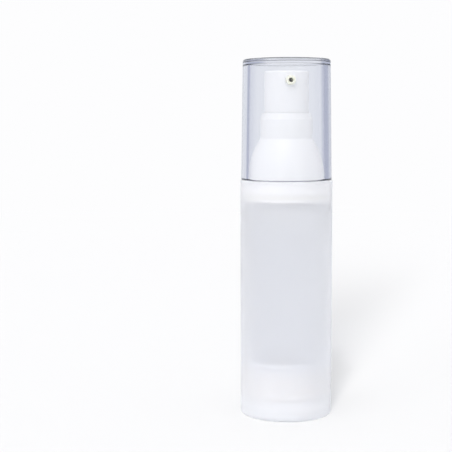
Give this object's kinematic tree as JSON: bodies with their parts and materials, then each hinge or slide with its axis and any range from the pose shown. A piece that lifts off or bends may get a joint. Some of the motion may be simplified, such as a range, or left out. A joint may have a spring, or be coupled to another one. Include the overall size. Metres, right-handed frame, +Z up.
{
  "type": "pump bottle",
  "caption": "Airless lotion pump bottle: frosted tube with a follower piston, press-down swivelling button with a small nozzle, and a clear lift-off overcap.",
  "frame": {"origin": "centre of the bottle's foot, on the surface that it stands on", "axes": "+Z up along the bottle's axis; the nozzle points along -Y at rest"},
  "size_m": [0.035, 0.035, 0.1354],
  "materials": {
    "frosted_bottle": "satin frosted, translucent",
    "clear_plastic": "polished, clear with a faint violet tint",
    "white_plastic": "moulded, semi-gloss",
    "natural_plastic": "moulded, waxy",
    "ivory_plastic": "moulded, semi-gloss",
    "soft_seal": "matt",
    "steel": "drawn wire and polished ball"
  },
  "bodies": {
    "container": {"bottle": "frosted_bottle", "base_plug": "white_plastic", "collar": "white_plastic", "mouth_seal": "soft_seal", "flange_gasket": "soft_seal", "retaining_ring": "white_plastic", "pump_housing": "white_plastic", "ball_cage": "white_plastic", "turret": "white_plastic", "stem_seal": "soft_seal", "spring": "steel"},
    "cap": {"overcap": "clear_plastic"},
    "plunger": {"stem": "white_plastic", "piston_rod": "white_plastic"},
    "head": {"actuator": "white_plastic", "nozzle_insert": "ivory_plastic", "outlet_valve": "soft_seal"},
    "piston": {"pump_piston": "natural_plastic"},
    "follower": {"follower_piston": "natural_plastic"},
    "inlet_valve": {"inlet_ball": "steel"}
  },
  "joints": [
    {"name": "overcap_lift", "type": "slide", "parent": "container", "child": "cap", "axis": [0, 0, 1], "range_m": [0, 0.046]},
    {"name": "actuator_press", "type": "slide", "parent": "container", "child": "plunger", "axis": [0, 0, -1], "range_m": [0, 0.0045], "stiffness_N_per_m": 2500, "deforming": ["spring"]},
    {"name": "head_spin", "type": "hinge", "parent": "plunger", "child": "head", "pos_m": [0, 0, 0.11128], "axis": [0, 0, 1], "continuous": true},
    {"name": "piston_shift", "type": "slide", "parent": "plunger", "child": "piston", "axis": [0, 0, 1], "range_m": [0, 0.0008]},
    {"name": "follower_rise", "type": "slide", "parent": "container", "child": "follower", "axis": [0, 0, 1], "range_m": [0, 0.0603]},
    {"name": "ball_rise", "type": "slide", "parent": "container", "child": "inlet_valve", "axis": [0, 0, 1], "range_m": [0, 0.0008]}
  ]
}
